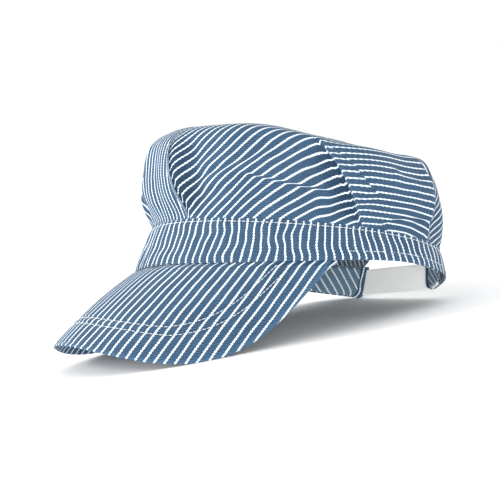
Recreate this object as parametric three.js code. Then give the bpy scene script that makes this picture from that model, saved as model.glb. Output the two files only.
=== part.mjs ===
// Railroad engineer cap: a soft striped crown pleated to an upright band, a
// stiffened visor sewn under the front of the band, and a plain elastic strap
// across the open arch at the back.
// Lengths are millimetres. +Z is up, the visor points to -Y and +X is the
// wearer's left. The shapes are worked out in the cap's own frame, whose XY
// plane is the head opening, and then pitched and lifted onto the table, where
// the cap rests on its visor and on the back of its band.
import * as THREE from 'three';

// Two closed rings carry the band: its lower edge and the seam that joins it
// to the crown. front, back and half are reaches from the middle of the head
// opening, centre is where the ring is widest, and the two squareness values
// are the powers of the front and back halves (2 is an ellipse). level and the
// three waves give the height: waves[0] once, waves[1] twice and waves[2]
// three times round the head. pull and lift are how far the strap draws the
// ends in and up.
const LOWER = {
  front: 90.5, back: 89.4, half: 83.4, centre: 9.5,
  frontPower: 2.0, backPower: 2.6, level: 2.8, waves: [1.9, -4.6, 2.3],
  pull: 5.5, lift: 2.2,
};
const UPPER = {
  front: 80.5, back: 89.4, half: 77.6, centre: 8.2,
  frontPower: 2.0, backPower: 2.4, level: 24.1, waves: [5.7, -1.6, 0.8],
  pull: 3.5, lift: 1.5,
};

// The layers of the band, from outside inwards, with the same clear gap
// between each two.
const GAP = 0.3;
const BAND_CLOTH = 1.2;
const TUCKED_LAYER = 1.4;
const FACING_CLOTH = 1.0;
const TUCKED_OUTER = BAND_CLOTH + GAP;
const TUCKED_INNER = TUCKED_OUTER + TUCKED_LAYER;
const FACING_OUTER = TUCKED_INNER + GAP;
const FACING_INNER = FACING_OUTER + FACING_CLOTH;

// The open arch at the back of the head and the strap that crosses it.
const ARCH_HALF = 37;
const ARCH_RISE = 19;
const STRAP_HEIGHT = 16;
const STRAP_THICKNESS = 1.2;
const STRAP_TUCKED = 12;
const STRAP_ABOVE_EDGE = 0.9;
const STRAP_SAG = 2;

// The crown: one round of cloth, gathered by pleats on each side. Its tucked
// edge grows shallow within STRAP_END_ROOM of the strap's ends, over TUCK_FADE
// degrees.
const CROWN_CLOTH = 1.2;
const CROWN_TUCK = 8;
const CROWN_TUCK_AT_STRAP = 1.2;
const STRAP_END_ROOM = 14;
const TUCK_FADE = 8;
const RIM = { level: 76.4, front: 5.2, ends: 2.5 };
const OVERHANG = 8;
const TOP_DOME = 5;

// Section of the crown's wall. up is the share of the way from the seam to the
// rim, front and back are shares of OVERHANG outside the seam, and side is added
// to them where the shoulder stands out, SHOULDER_AT degrees round.
const SHOULDER_AT = 62;
const SHOULDER_SPREAD = 34;
const WALL_ROWS = [
  { up: 0.02, front: 0.00, back: 0.00, side: 0.00 },
  { up: 0.10, front: 0.25, back: 0.00, side: 0.00 },
  { up: 0.20, front: 0.60, back: -0.05, side: 0.00 },
  { up: 0.32, front: 0.86, back: 0.08, side: 0.00 },
  { up: 0.44, front: 0.98, back: 0.12, side: 0.00 },
  { up: 0.56, front: 0.92, back: 0.02, side: 0.00 },
  { up: 0.68, front: 0.80, back: -0.25, side: 0.00 },
  { up: 0.80, front: 0.66, back: -0.80, side: 0.05 },
  { up: 0.90, front: 0.12, back: -1.10, side: 0.45 },
  { up: 0.96, front: -0.65, back: -1.20, side: 0.85 },
  { up: 1.00, front: -1.60, back: -1.85, side: 1.30 },
];

// Section of the crown's top. reach is the share of the rim's distance from
// the middle, dome the share of TOP_DOME above the rim.
const TOP_ROWS = [
  { reach: 0.82, dome: 0.25 },
  { reach: 0.62, dome: 0.60 },
  { reach: 0.40, dome: 0.85 },
  { reach: 0.20, dome: 0.97 },
];

// The pleats of one side; the other side mirrors them. at is where the fold
// meets the seam, in degrees round from the front, lean how far its top end
// lies towards the front, and bulge and pocket are shares of PLEAT_DEPTH by
// which the cloth swells before the fold and falls behind it. way is 1 where
// the fold's edge faces back and -1 where it faces front.
const PLEAT_DEPTH = 8;
const PLEAT_STEP = 4;
const PLEATS = [
  { at: 15, lean: 7, way: 1, bulge: 0.45, pocket: 0.72, swell: 16, recover: 26 },
  { at: 85, lean: 19, way: -1, bulge: 0.30, pocket: 0.80, swell: 18, recover: 16 },
  { at: 123, lean: 2, way: 1, bulge: 0.30, pocket: 0.45, swell: 16, recover: 14 },
];

// The visor: how far round the seam its corner lies, its forward reach, the
// roundness of its outline, and its fall. The slopes and the twist are falls
// per millimetre, the droops what the bend adds at the outer edge.
const VISOR_CORNER = 74.5;
const VISOR_REACH = 52;
const VISOR_ROUNDNESS = 3.7;
const VISOR_SLOPE = 0.70;
const VISOR_SIDE_SLOPE = 0.25;
const VISOR_DROOP = 11;
const VISOR_SIDE_DROOP = 12;
const VISOR_TWIST = 0.09;
const VISOR_NARROWING = 14.5;
const VISOR_THICKNESS = 2.4;
const VISOR_TONGUE = 8;

// How the cap lies: its front pitched up about X, then rolled about Y until
// both sides of the twisted visor touch, and lifted so that the lowest cloth is
// pressed flat on the table.
const REST_PITCH = 15.5;
const REST_ROLL = -4.3;
const REST_LIFT = 23.3;

// The stretch over which the strap draws the band in, in degrees round.
const PULL_FROM = 122;
const PULL_TO = 154;

const rad = THREE.MathUtils.degToRad;
const smooth = (a, b, x) => THREE.MathUtils.smoothstep(x, a, b);

// A point of a ring, at an angle in degrees round from the front.
function ringPoint(ring, angle) {
  const c = Math.cos(rad(angle));
  const s = Math.sin(rad(angle));
  const power = c > 0 ? ring.frontPower : ring.backPower;
  const k = (Math.abs(c) ** power + Math.abs(s) ** power) ** (-1 / power);
  const reach = c > 0 ? ring.front + ring.centre : ring.back - ring.centre;
  let z = ring.level;
  ring.waves.forEach((wave, i) => {
    z += wave * Math.cos((i + 1) * rad(angle));
  });
  const drawn = smooth(PULL_FROM, PULL_TO, Math.abs(angle));
  const y = ring.centre - reach * c * k - ring.pull * drawn;
  return new THREE.Vector3(ring.half * s * k, y, z + ring.lift * drawn);
}

// The horizontal direction that points out of a ring.
function ringOut(ring, angle) {
  const a = ringPoint(ring, angle - 0.5);
  const b = ringPoint(ring, angle + 0.5);
  return new THREE.Vector3(b.y - a.y, a.x - b.x, 0).normalize();
}

// A point of the band: share is 0 at the lower edge and 1 at the seam, inset
// is the distance inside the band's outer face.
function bandPoint(angle, share, inset) {
  const p = ringPoint(LOWER, angle).lerp(ringPoint(UPPER, angle), share);
  const out = ringOut(LOWER, angle).lerp(ringOut(UPPER, angle), share);
  return p.addScaledVector(out.normalize(), -inset);
}

function bandHeight(angle) {
  return ringPoint(UPPER, angle).distanceTo(ringPoint(LOWER, angle));
}

// The angle at which a ring is a given distance to the side, near the back.
function backAngle(ring, side) {
  let low = 100;
  let high = 180;
  for (let i = 0; i < 40; i += 1) {
    const middle = (low + high) / 2;
    if (ringPoint(ring, middle).x > side) {
      low = middle;
    } else {
      high = middle;
    }
  }
  return low;
}

// From the cap's own frame to the table: pitch, roll, lift, and press flat
// what would reach below the table.
function onTable(p) {
  const q = p.clone();
  q.applyAxisAngle(new THREE.Vector3(1, 0, 0), rad(-REST_PITCH));
  q.applyAxisAngle(new THREE.Vector3(0, 1, 0), rad(REST_ROLL));
  q.z = Math.max(q.z + REST_LIFT, 0);
  return q;
}

// A closed body from a grid of outer points and the matching inner points.
// grid[row][column] runs up the body and round it. round closes the columns on
// themselves, and pole adds one point to each face beyond the last row.
function slab(outer, inner, { round = false, pole = null } = {}) {
  const rows = outer.length;
  const columns = outer[0].length;
  const points = [];
  const index = [];
  const put = (grid) => grid.map((row) => row.map((p) => points.push(onTable(p)) - 1));
  const o = put(outer);
  const i = put(inner);
  const quad = (a, b, c, d) => index.push(a, b, c, a, c, d);
  const next = (k) => (k + 1) % columns;
  const last = round ? columns : columns - 1;
  for (let r = 0; r < rows - 1; r += 1) {
    for (let k = 0; k < last; k += 1) {
      quad(o[r][k], o[r][next(k)], o[r + 1][next(k)], o[r + 1][k]);
      quad(i[r][next(k)], i[r][k], i[r + 1][k], i[r + 1][next(k)]);
    }
  }
  for (let k = 0; k < last; k += 1) {
    quad(i[0][k], i[0][next(k)], o[0][next(k)], o[0][k]);
    if (!pole) {
      const t = rows - 1;
      quad(o[t][k], o[t][next(k)], i[t][next(k)], i[t][k]);
    }
  }
  if (!round) {
    const e = columns - 1;
    for (let r = 0; r < rows - 1; r += 1) {
      quad(i[r][0], o[r][0], o[r + 1][0], i[r + 1][0]);
      quad(o[r][e], i[r][e], i[r + 1][e], o[r + 1][e]);
    }
  }
  if (pole) {
    const t = rows - 1;
    const outerTip = points.push(onTable(pole[0])) - 1;
    const innerTip = points.push(onTable(pole[1])) - 1;
    for (let k = 0; k < last; k += 1) {
      index.push(o[t][k], o[t][next(k)], outerTip);
      index.push(i[t][next(k)], i[t][k], innerTip);
    }
  }
  const geometry = new THREE.BufferGeometry();
  const flat = points.flatMap((p) => [p.x, p.y, p.z]);
  geometry.setAttribute('position', new THREE.Float32BufferAttribute(flat, 3));
  geometry.setIndex(index);
  geometry.computeVertexNormals();
  return geometry;
}

// The face of a grid moved along its own normals. The columns run round the
// head and the rows upwards, so row x column points outwards.
function offsetGrid(grid, distance, round) {
  const rows = grid.length;
  const columns = grid[0].length;
  return grid.map((row, r) => row.map((p, k) => {
    const up = grid[Math.min(r + 1, rows - 1)][k].clone();
    up.sub(grid[Math.max(r - 1, 0)][k]);
    const ahead = round ? (k + 1) % columns : Math.min(k + 1, columns - 1);
    const behind = round ? (k + columns - 1) % columns : Math.max(k - 1, 0);
    const along = grid[r][ahead].clone().sub(grid[r][behind]);
    const normal = along.cross(up).normalize();
    return p.clone().addScaledVector(normal, distance);
  }));
}

const spread = (from, to, steps) => Array.from(
  { length: steps + 1 },
  (_, k) => from + (to - from) * (k / steps),
);

// The band and its facing: strips that run from one side of the arch to the
// other, ending upright at the strap.
function strip(outset, inset, from, to, steps, rows) {
  const end = backAngle(LOWER, ARCH_HALF);
  const angles = spread(-end, end, steps);
  const shares = spread(from, to, rows);
  const face = (depth) => shares.map((share) => angles.map((angle) => (
    bandPoint(angle, share, depth)
  )));
  return slab(face(outset), face(inset));
}

// How high the arch has cut the crown above the seam.
function archAt(angle) {
  const side = ringPoint(UPPER, angle).x / ARCH_HALF;
  if (Math.abs(angle) < 90 || Math.abs(side) > 1) {
    return 0;
  }
  return ARCH_RISE * (1 - side * side);
}

// How far the pleats push the crown's cloth outwards, from the angle and the
// share of the way up the wall.
function pleatOffset(angle, up) {
  const side = Math.abs(angle);
  const strength = smooth(0.02, 0.3, up) * (1 - smooth(0.62, 1.0, up));
  let offset = 0;
  PLEATS.forEach((pleat) => {
    const fold = pleat.at - pleat.lean * up;
    const past = (side - fold) * pleat.way;
    if (past <= 0) {
      offset += pleat.bulge * Math.exp(past / pleat.swell);
    } else if (past < PLEAT_STEP) {
      const fall = smooth(0, PLEAT_STEP, past);
      offset += pleat.bulge - (pleat.bulge + pleat.pocket) * fall;
    } else {
      offset -= pleat.pocket * Math.exp((PLEAT_STEP - past) / pleat.recover);
    }
  });
  return offset * strength * PLEAT_DEPTH;
}

// The angles of the crown's columns: even steps, with two more in each fold.
function crownAngles(up) {
  const half = [0];
  const between = [3, 9, 7, 7];
  PLEATS.forEach((pleat, n) => {
    const fold = pleat.at - pleat.lean * up;
    const start = pleat.way > 0 ? fold : fold - PLEAT_STEP;
    const before = half[half.length - 1];
    spread(before, start, between[n]).slice(1).forEach((angle) => half.push(angle));
    half.push(start + PLEAT_STEP / 2, start + PLEAT_STEP);
  });
  const last = half[half.length - 1];
  spread(last, 180, between[3]).slice(1).forEach((angle) => half.push(angle));
  const other = half.slice(1, -1).map((angle) => -angle).reverse();
  return other.concat(half);
}

function rimHeight(angle) {
  return RIM.level + RIM.front * Math.cos(rad(angle)) + RIM.ends * Math.cos(2 * rad(angle));
}

// A point of the crown's wall.
function wallPoint(angle, row) {
  const seam = ringPoint(UPPER, angle);
  const out = ringOut(UPPER, angle);
  const towardsFront = (1 + Math.cos(rad(angle))) / 2;
  const fromShoulder = (Math.abs(angle) - SHOULDER_AT) / SHOULDER_SPREAD;
  const share = THREE.MathUtils.lerp(row.back, row.front, towardsFront)
    + row.side * Math.exp(-(fromShoulder ** 2));
  const reach = share * OVERHANG;
  const height = rimHeight(angle) - seam.z;
  const cut = archAt(angle) / height;
  const up = cut + (1 - cut) * row.up;
  seam.z += up * height;
  return seam.addScaledVector(out, reach + pleatOffset(angle, row.up));
}

// How deep the crown is tucked behind the band: less where the strap's ends
// need the room.
function tuckAt(angle) {
  const start = backAngle(UPPER, ARCH_HALF + STRAP_TUCKED + STRAP_END_ROOM);
  const full = smooth(start, start + TUCK_FADE, Math.abs(angle));
  return THREE.MathUtils.lerp(CROWN_TUCK, CROWN_TUCK_AT_STRAP, full);
}

function crown() {
  const outer = [];
  const skirt = [1, 0.5, 0].map((share) => crownAngles(0).map((angle) => {
    const depth = tuckAt(angle) * share;
    const p = bandPoint(angle, 1 - depth / bandHeight(angle), TUCKED_OUTER);
    p.z += archAt(angle);
    return p;
  }));
  outer.push(...skirt);
  WALL_ROWS.forEach((row) => {
    outer.push(crownAngles(row.up).map((angle) => wallPoint(angle, row)));
  });
  const rim = outer[outer.length - 1];
  const middle = new THREE.Vector3(0, UPPER.centre, 0);
  TOP_ROWS.forEach((row) => {
    outer.push(rim.map((p) => {
      const z = THREE.MathUtils.lerp(RIM.level + RIM.ends, p.z, row.reach);
      const q = middle.clone().lerp(p, row.reach);
      q.z = z + row.dome * TOP_DOME;
      return q;
    }));
  });
  const inner = offsetGrid(outer, -CROWN_CLOTH, true);
  const tip = new THREE.Vector3(0, UPPER.centre, RIM.level + RIM.ends + TOP_DOME);
  const pole = [tip, tip.clone().setZ(tip.z - CROWN_CLOTH)];
  return slab(outer, inner, { round: true, pole });
}

// A point of the visor's upper face. across runs from -1 to 1 between the
// corners and ahead from 0 at the seam to 1 at the outer edge; the square that
// they span is drawn in to the visor's rounded outline.
function visorPoint(across, ahead) {
  const far = Math.max(Math.abs(across), ahead, 1e-6);
  const power = VISOR_ROUNDNESS;
  const shrink = ((Math.abs(across) / far) ** power + (ahead / far) ** power) ** (-1 / power);
  const side = across * shrink;
  const run = ahead * shrink;
  const p = bandPoint(side * VISOR_CORNER, 0, 0);
  const forward = run * VISOR_REACH;
  const slope = VISOR_SLOPE + VISOR_SIDE_SLOPE * side * side;
  const droop = VISOR_DROOP + VISOR_SIDE_DROOP * side * side;
  p.x -= VISOR_NARROWING * side * run;
  p.y -= forward;
  p.z -= slope * forward + droop * run * run + VISOR_TWIST * p.x * run;
  return p;
}

function visor() {
  const across = spread(-1, 1, 44).map((a) => Math.sin(a * Math.PI / 2) * 0.25 + a * 0.75);
  const ahead = [0.06, 0.2, 0.36, 0.52, 0.68, 0.84, 1];
  const upper = ahead.map((b) => across.map((a) => visorPoint(a, b)));
  const lower = offsetGrid(upper, VISOR_THICKNESS, false);
  const seamRow = (up, inset) => across.map((a) => {
    const angle = a * VISOR_CORNER;
    return bandPoint(angle, up / bandHeight(angle), inset);
  });
  const upperTongue = [
    seamRow(VISOR_TONGUE, TUCKED_OUTER),
    seamRow(-GAP, TUCKED_OUTER),
    seamRow(-2 * GAP, GAP),
  ];
  const lowerTongue = [
    seamRow(VISOR_TONGUE, TUCKED_INNER),
    seamRow(-GAP, TUCKED_INNER),
    seamRow(-VISOR_THICKNESS, TUCKED_OUTER),
  ];
  const top = upperTongue.concat(upper);
  const under = lowerTongue.concat(lower);
  return slab(under, top);
}

// The strap: flat across the arch, its ends tucked into the band and leaning
// with it.
function strap() {
  const end = backAngle(LOWER, ARCH_HALF);
  const tucked = backAngle(LOWER, ARCH_HALF + STRAP_TUCKED);
  const depth = TUCKED_OUTER + (TUCKED_LAYER - STRAP_THICKNESS) / 2;
  const outer = [0, 0.5, 1].map((share) => {
    const row = spread(tucked, end, 4).map((angle) => {
      const height = STRAP_ABOVE_EDGE + share * STRAP_HEIGHT;
      return bandPoint(angle, height / bandHeight(angle), depth);
    });
    const start = row[row.length - 1];
    spread(1, 0, 6).slice(1).forEach((run) => {
      const p = start.clone();
      p.x *= run;
      p.y -= STRAP_SAG * (1 - run * run);
      row.push(p);
    });
    const other = row.slice(0, -1).reverse().map((p) => new THREE.Vector3(-p.x, p.y, p.z));
    return row.concat(other);
  });
  return slab(outer, offsetGrid(outer, -STRAP_THICKNESS, false));
}

function piece(name, geometry, color, roughness) {
  const material = new THREE.MeshStandardMaterial({ color, roughness, metalness: 0 });
  const mesh = new THREE.Mesh(geometry, material);
  mesh.name = name;
  return mesh;
}

const DENIM = 0x5f7ea3;
const DENIM_SHADE = 0x4a6a8e;
const ELASTIC = 0xdde3dc;

const cap = new THREE.Group();
cap.name = 'engineer_cap';
cap.add(
  piece('crown', crown(), DENIM, 0.9),
  piece('band', strip(0, BAND_CLOTH, 0, 1, 84, 3), DENIM, 0.9),
  piece('facing', strip(FACING_OUTER, FACING_INNER, 0.03, 0.95, 72, 2), DENIM_SHADE, 0.9),
  piece('visor', visor(), DENIM, 0.88),
  piece('strap', strap(), ELASTIC, 0.75),
);

// The origin is the middle of the ground that the cap covers.
const middle = new THREE.Box3().setFromObject(cap).getCenter(new THREE.Vector3());
cap.children.forEach((mesh) => mesh.geometry.translate(-middle.x, -middle.y, 0));

export default cap;
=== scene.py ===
import math

import bmesh
import bpy
import numpy as np
from mathutils import Matrix, Vector


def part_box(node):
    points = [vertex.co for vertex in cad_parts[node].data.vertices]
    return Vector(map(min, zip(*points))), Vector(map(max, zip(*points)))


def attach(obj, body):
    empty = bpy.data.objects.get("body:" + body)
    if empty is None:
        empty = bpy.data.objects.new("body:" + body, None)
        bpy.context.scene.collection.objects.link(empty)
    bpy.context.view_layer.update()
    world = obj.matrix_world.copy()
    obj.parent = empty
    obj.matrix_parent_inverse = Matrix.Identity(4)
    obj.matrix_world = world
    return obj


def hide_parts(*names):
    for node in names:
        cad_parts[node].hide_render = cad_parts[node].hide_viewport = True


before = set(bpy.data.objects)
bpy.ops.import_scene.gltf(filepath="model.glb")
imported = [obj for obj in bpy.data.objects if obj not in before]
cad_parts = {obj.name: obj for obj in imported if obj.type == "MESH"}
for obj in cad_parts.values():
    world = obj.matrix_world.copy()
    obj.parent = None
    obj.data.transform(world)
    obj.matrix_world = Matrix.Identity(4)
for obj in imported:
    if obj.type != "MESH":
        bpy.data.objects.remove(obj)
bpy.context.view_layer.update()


# The two sewn rings of the cap: the lower edge of the band and the seam that
# joins band and crown. Each is an oval, open at the back, whose height waves
# round the head; the strap draws its ends in and up.
LOWER = dict(front=90.5, back=89.4, half=83.4, centre=9.5, powers=(2.0, 2.6),
             level=2.8, waves=(1.9, -4.6, 2.3), pull=5.5, lift=2.2)
UPPER = dict(front=80.5, back=89.4, half=77.6, centre=8.2, powers=(2.0, 2.4),
             level=24.1, waves=(5.7, -1.6, 0.8), pull=3.5, lift=1.5)
REST_PITCH, REST_ROLL, REST_LIFT = math.radians(-15.5), math.radians(-4.3), 23.3
ARCH_HALF, ARCH_RISE = 37.0, 19.0


def ease(low, high, value):
    t = np.clip((np.asarray(value, float) - low) / (high - low), 0.0, 1.0)
    return t * t * (3.0 - 2.0 * t)


def ring_point(ring, angle):
    angle = (np.asarray(angle, float) + 180.0) % 360.0 - 180.0
    turn = np.radians(angle)
    c, s = np.cos(turn), np.sin(turn)
    power = np.where(c > 0, ring["powers"][0], ring["powers"][1])
    k = (np.abs(c) ** power + np.abs(s) ** power) ** (-1.0 / power)
    reach = np.where(c > 0, ring["front"] + ring["centre"], ring["back"] - ring["centre"])
    drawn = ease(122.0, 154.0, np.abs(angle))
    height = ring["level"] + ring["lift"] * drawn
    for count, wave in enumerate(ring["waves"], 1):
        height = height + wave * np.cos(count * turn)
    forward = ring["centre"] - reach * c * k - ring["pull"] * drawn
    return np.stack([ring["half"] * s * k, forward, height], -1)


def unit(vector):
    length = np.linalg.norm(vector, axis=-1, keepdims=True)
    return vector / np.maximum(length, 1e-9)


def ring_out(ring, angle):
    step = ring_point(ring, np.add(angle, 0.5)) - ring_point(ring, np.subtract(angle, 0.5))
    return unit(np.stack([step[..., 1], -step[..., 0], 0.0 * step[..., 0]], -1))


def band_point(angle, share, inset):
    share = np.asarray(share, float)[..., None]
    inset = np.asarray(inset, float)[..., None]
    place = ring_point(LOWER, angle) * (1.0 - share) + ring_point(UPPER, angle) * share
    out = unit(ring_out(LOWER, angle) * (1.0 - share) + ring_out(UPPER, angle) * share)
    return place - out * inset


def band_height(angle):
    return np.linalg.norm(ring_point(UPPER, angle) - ring_point(LOWER, angle), axis=-1)


def back_angle(ring, side):
    low, high = 100.0, 180.0
    for _ in range(40):
        middle = (low + high) / 2
        if ring_point(ring, middle)[0] > side:
            low = middle
        else:
            high = middle
    return low


def tip(vector):
    x, y, z = vector[..., 0], vector[..., 1], vector[..., 2]
    c, s = math.cos(REST_PITCH), math.sin(REST_PITCH)
    y, z = y * c - z * s, y * s + z * c
    c, s = math.cos(REST_ROLL), math.sin(REST_ROLL)
    x, z = x * c + z * s, z * c - x * s
    return np.stack([x, y, z], -1)


BAND_END = back_angle(LOWER, ARCH_HALF)
span = np.linspace(-BAND_END, BAND_END, 85)
spread = tip(np.stack([band_point(span, share, 0.0) for share in (0.0, 0.33, 0.67, 1.0)]))
low, high = (np.array(corner) * 1000.0 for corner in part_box("band"))
SHIFT = (low + high) / 2 - (spread.min((0, 1)) + spread.max((0, 1))) / 2


def lay(place):
    rested = tip(place) + [SHIFT[0], SHIFT[1], REST_LIFT]
    rested[..., 2] = np.maximum(rested[..., 2], 0.0)
    return rested * 0.001


# The band: one upright strip of striped twill, doubled and turned in at both
# edges, with a row of top stitching just under the crown seam. Its cloth runs
# with the stripes upright and is a little drawn where the crown is sewn on.
STRIPE_PITCH, STRIPE_WIDTH = 4.7, 0.9
BLUE_DEEP, BLUE_FADED = (0.014, 0.032, 0.061), (0.058, 0.121, 0.207)
STRIPE_WHITE, STRIPE_SHADE = (0.750, 0.845, 0.915), (0.475, 0.575, 0.670)
BAND_CLOTH = 1.2


def node_maker(material):
    material.use_nodes = True
    tree = material.node_tree

    def make(kind, *inputs, **settings):
        node = tree.nodes.new("ShaderNode" + kind)
        for name, value in settings.items():
            setattr(node, name, value)
        for slot, value in enumerate(inputs):
            if isinstance(value, bpy.types.NodeSocket):
                tree.links.new(value, node.inputs[slot])
            elif value is not None:
                node.inputs[slot].default_value = value
        return node

    def calc(operation, *inputs):
        return make("Math", *inputs, operation=operation).outputs[0]

    def blend(share, one, other, kind="MIX"):
        mix = make("Mix", share, data_type="RGBA", blend_type=kind)
        for slot, value in ((6, one), (7, other)):
            if isinstance(value, bpy.types.NodeSocket):
                tree.links.new(value, mix.inputs[slot])
            else:
                mix.inputs[slot].default_value = (*value, 1.0)
        return mix.outputs[2]

    return tree, make, calc, blend


def striped_twill(name, deep, faded, white, shade, turned=0.0):
    """Yarn-dyed twill: white stripes in blue, diagonal ribs, uneven dye and soft nap; a mesh attribute
    adds wear and painted shade.
    """
    material = bpy.data.materials.new(name)
    tree, make, calc, blend = node_maker(material)
    place = make("UVMap", uv_map="cloth").outputs[0]
    if turned:
        place = make("Mapping", place, None, (0.0, 0.0, math.radians(turned))).outputs[0]
    drift = make("TexNoise", place, None, 0.035, 2.0).outputs[0]
    fray = make("TexNoise", place, None, 1.6, 1.0).outputs[0]
    across, along, _ = make("SeparateXYZ", place).outputs
    moved = calc("ADD", across, calc("MULTIPLY", calc("SUBTRACT", drift, 0.5), 1.6))
    moved = calc("ADD", moved, calc("MULTIPLY", calc("SUBTRACT", fray, 0.5), 0.5))
    diagonal = calc("SUBTRACT", across, calc("MULTIPLY", along, 0.9))
    rib = calc("MULTIPLY_ADD", calc("SINE", calc("MULTIPLY", diagonal, 3.9)), 0.5, 0.5)
    moved = calc("ADD", moved, calc("MULTIPLY", calc("SUBTRACT", rib, 0.5), 0.35))
    turn = calc("FRACT", calc("DIVIDE", moved, STRIPE_PITCH))
    away = calc("MULTIPLY", calc("ABSOLUTE", calc("SUBTRACT", turn, 0.5)), STRIPE_PITCH)
    edge = STRIPE_WIDTH / 2
    stripe = make("MapRange", away, edge + 0.22, edge - 0.22, 0.0, 1.0,
                  interpolation_type="SMOOTHSTEP").outputs[0]
    yarn_place = make("Mapping", place, None, None, (1.9, 0.22, 1.0)).outputs[0]
    yarn = make("TexNoise", yarn_place, None, 1.0, 3.0).outputs[0]
    wash = make("TexNoise", place, None, 0.055, 4.0).outputs[0]
    weave = make("TexNoise", place, None, 1.5, 2.0).outputs[0]
    tone = calc("ADD", calc("MULTIPLY", rib, 0.75), calc("MULTIPLY", yarn, 0.45))
    tone = calc("ADD", tone, calc("MULTIPLY", wash, 0.50))
    tone = calc("ADD", tone, calc("MULTIPLY", weave, 2.00))
    tone = calc("SUBTRACT", tone, 1.40)
    # Lighter where the cloth is rubbed, darker where a mesh attribute paints shade into pockets and
    # stitch grooves.
    worn_and_shaded = make("Attribute", attribute_name="wear_and_shade").outputs[2]
    tone = calc("ADD", tone, calc("MULTIPLY", worn_and_shaded, 0.5))
    tone = make("Clamp", tone).outputs[0]
    ground = blend(tone, deep, faded)
    light = blend(calc("MULTIPLY", rib, 0.35), white, shade)
    colour = blend(stripe, ground, light)
    shader = tree.nodes["Principled BSDF"]
    tree.links.new(colour, shader.inputs["Base Color"])
    shader.inputs["Roughness"].default_value = 0.92
    shader.inputs["Specular IOR Level"].default_value = 0.12
    shader.inputs["Sheen Weight"].default_value = 0.06
    shader.inputs["Sheen Roughness"].default_value = 0.55
    height = calc("ADD", calc("MULTIPLY", rib, 0.5), calc("MULTIPLY", weave, 0.9))
    height = calc("ADD", height, calc("MULTIPLY", stripe, 0.35))
    bump = make("Bump", 0.45, 0.00025)
    tree.links.new(height, bump.inputs["Height"])
    tree.links.new(bump.outputs[0], shader.inputs["Normal"])
    return material


def cloth_piece(name, points, faces, cloth, materials, second=None, wear_and_shade=None):
    """A mesh from points in the cap's frame, with the cloth's own millimetres as its UV."""
    mesh = bpy.data.meshes.new(name)
    mesh.from_pydata(lay(points).tolist(), [], faces)
    layer = mesh.uv_layers.new(name="cloth")
    corner = np.empty(len(mesh.loops), dtype=np.int32)
    mesh.loops.foreach_get("vertex_index", corner)
    layer.data.foreach_set("uv", np.asarray(cloth, dtype=np.float32)[corner].ravel())
    # Per-point values: wear lightens the cloth, painted shade darkens it.
    worn_and_shaded = mesh.attributes.new("wear_and_shade", "FLOAT", "POINT")
    if wear_and_shade is not None:
        worn_and_shaded.data.foreach_set("value", np.asarray(wear_and_shade, dtype=np.float32).ravel())
    for material in materials:
        mesh.materials.append(material)
    if second is not None:
        mesh.polygons.foreach_set("material_index", np.asarray(second, dtype=np.int32))
    mesh.polygons.foreach_set("use_smooth", np.ones(len(mesh.polygons), dtype=bool))
    mesh.validate()
    mesh.update()
    piece = bpy.data.objects.new(name, mesh)
    bpy.context.scene.collection.objects.link(piece)
    return piece


def strip_faces(count, size):
    """Faces of a run of closed sections: count sections of size points, capped at both ends."""
    faces = []
    for k in range(count - 1):
        for r in range(size):
            a, b = k * size + r, k * size + (r + 1) % size
            faces.append((a, a + size, b + size, b))
    half = size // 2
    for k, turn in ((0, 1), (count - 1, -1)):
        for r in range(half - 1):
            face = [k * size + r, k * size + r + 1, k * size + size - 2 - r, k * size + size - 1 - r]
            faces.append(tuple(face[::turn]))
    return faces


def rounded(edge, radius):
    """How far a sheet's face draws in near its edge, so that the edge is round."""
    return radius - np.sqrt(np.maximum(radius ** 2 - np.maximum(radius - edge, 0.0) ** 2, 0.0))


def run_along(line):
    """Length along a line of points, from its first point to each of them."""
    return np.concatenate([[0.0], np.cumsum(np.linalg.norm(np.diff(line, axis=0), axis=-1))])


# The inner face is rounded a hair less, so that it never touches the outer one.
INNER_ROUND = 0.999
twill = striped_twill("striped_twill", BLUE_DEEP, BLUE_FADED, STRIPE_WHITE, STRIPE_SHADE)
# The cloth's back for the crown's inside, with its stripes; its colours are darkened as painted shade
# for the shaded inside of the crown.
reverse_shaded = striped_twill("twill_reverse_shaded", (0.045, 0.075, 0.110), (0.120, 0.175, 0.235),
                        (0.620, 0.670, 0.700), (0.420, 0.480, 0.530))

angles = np.linspace(-BAND_END, BAND_END, 721)
edge_steps = np.array([0.0, 0.06, 0.2, 0.42, 0.75])
height = band_height(angles)[:, None]
rows = np.concatenate([edge_steps, np.linspace(1.3, 98.7, 28), 100.0 - edge_steps[::-1]])
inner_edge = rows < 1.0
outer_edge = rows > 99.0
along_mm = np.where(inner_edge[None, :], rows[None, :],
                    np.where(outer_edge[None, :], height - (100.0 - rows[None, :]),
                             rows[None, :] / 100.0 * height))
from_top = height - along_mm
turned_in = np.minimum(along_mm, from_top)
round_in = rounded(turned_in, BAND_CLOTH / 2)
rng = np.random.default_rng(11)
ripple = np.zeros_like(along_mm)
for count in range(9):
    waves, phase, size = rng.uniform(18, 70), rng.uniform(0, 6.28), rng.uniform(0.05, 0.16)
    ripple += size * np.sin(np.radians(angles)[:, None] * waves + phase + along_mm * 0.08)
ripple *= ease(0.0, 5.0, from_top) * ease(0.0, 3.0, along_mm)
swell = 0.25 * np.sin(np.pi * np.clip(along_mm / height, 0, 1))
groove = -0.32 * np.exp(-((from_top - 2.0) / 0.55) ** 2)
# The ends are turned over the facing: radii of the turn outside and inside, the
# width turned over, the corner's radius, and millimetres per degree at the ends.
HEM_OUT, HEM_IN, HEM_WIDTH, HEM_ROUND, END_MM = 2.65, 1.65, 1.6, 6.0, 1.6


def round_end(angle, up_mm):
    """The band's angle, drawn back near its ends so that their lower corners are rounded."""
    short = HEM_ROUND - np.sqrt(HEM_ROUND ** 2 - np.clip(HEM_ROUND - up_mm, 0.0, HEM_ROUND - 0.2) ** 2)
    near_end = ease(BAND_END - 12.0, BAND_END, np.abs(angle))
    return angle - np.sign(angle) * near_end * short / END_MM


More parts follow.
